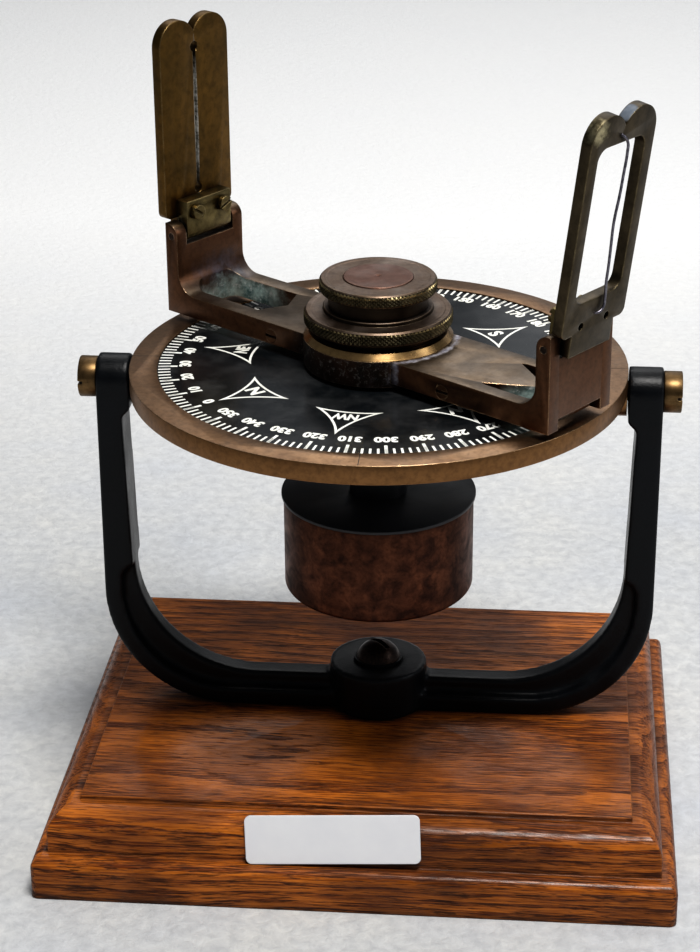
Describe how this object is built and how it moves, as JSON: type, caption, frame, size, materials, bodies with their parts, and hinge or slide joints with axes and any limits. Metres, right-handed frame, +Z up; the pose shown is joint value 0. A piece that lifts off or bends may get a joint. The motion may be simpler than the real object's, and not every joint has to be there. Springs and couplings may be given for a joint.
{
  "type": "pelorus",
  "caption": "Pelorus: a dumb compass card in a weighted gimbal ring on a forked stand, with a turning bar of folding sight vanes and two clamp knobs.",
  "frame": {"origin": "on the underside of the wooden base, at its middle; the yoke stands 3 mm to the right of it", "axes": "+X along the gimbal axis to the right seen from the front, +Y towards the back, +Z up"},
  "size_m": [0.259, 0.217, 0.3227],
  "materials": {
    "oak": "stained oak under gloss varnish",
    "label": "blank white card",
    "black_enamel": "satin black paint",
    "bronze": "aged bronze, brown patina, bright worn edges",
    "polished_brass": "worn bright brass",
    "dark_bronze": "dark oiled bronze, diamond knurling",
    "copper": "mottled copper brown",
    "dial_black": "black enamel dial",
    "screw_brown": "browned steel and brass",
    "black_iron": "blackened metal",
    "wire": "tinned wire"
  },
  "bodies": {
    "stand": {"base_board": "oak", "label_card": "label", "yoke": "black_enamel", "yoke_screw": "screw_brown", "yoke_washer": "black_iron", "pivot_screws": "polished_brass"},
    "gimbal_ring": {"compass_ring": "bronze", "ring_spider": "black_iron", "spider_screws": "polished_brass", "spindle": "polished_brass", "weight_stem": "black_iron", "weight_cap": "black_iron", "counterweight": "copper", "weight_nut": "polished_brass"},
    "card": {"compass_card": "dial_black", "card_hub": "polished_brass"},
    "sights": {"sight_bar": "bronze", "hub_collar": "polished_brass", "bar_set_screws": "dark_bronze", "front_hinge_pin": "polished_brass", "rear_hinge_pin": "polished_brass"},
    "lower_clamp": {"lower_knob": "dark_bronze"},
    "upper_clamp": {"upper_knob": "dark_bronze", "knob_cap": "copper"},
    "rear_sight": {"rear_vane": "bronze", "rear_hinge_block": "polished_brass", "rear_vane_screws": "polished_brass"},
    "front_sight": {"front_vane": "bronze", "front_hinge_block": "polished_brass", "front_vane_screws": "polished_brass", "sight_wire": "wire"}
  },
  "joints": [
    {"name": "ring_swing", "type": "hinge", "parent": "stand", "child": "gimbal_ring", "pos_m": [0.003, 0, 0.1848], "axis": [1, 0, 0], "range_deg": [-85, 85]},
    {"name": "card_turn", "type": "hinge", "parent": "gimbal_ring", "child": "card", "pos_m": [0.003, -0.0002, 0.1928], "axis": [0, -0.0253, 0.9997], "continuous": true},
    {"name": "sights_turn", "type": "hinge", "parent": "gimbal_ring", "child": "sights", "pos_m": [0.003, -0.00038, 0.1998], "axis": [0, -0.0253, 0.9997], "continuous": true},
    {"name": "lower_knob_turn", "type": "hinge", "parent": "gimbal_ring", "child": "lower_clamp", "pos_m": [0.003, -0.00076, 0.21479], "axis": [0, -0.0253, 0.9997], "range_deg": [0, 270]},
    {"name": "upper_knob_turn", "type": "hinge", "parent": "gimbal_ring", "child": "upper_clamp", "pos_m": [0.003, -0.00101, 0.22479], "axis": [0, -0.0253, 0.9997], "range_deg": [0, 270]},
    {"name": "rear_vane_fold", "type": "hinge", "parent": "sights", "child": "rear_sight", "pos_m": [-0.07586, 0.05716, 0.23281], "axis": [0.5948, 0.8036, 0.0203], "range_deg": [0, 90]},
    {"name": "front_vane_fold", "type": "hinge", "parent": "sights", "child": "front_sight", "pos_m": [0.08186, -0.05951, 0.22986], "axis": [-0.5948, -0.8036, -0.0203], "range_deg": [0, 98]}
  ]
}
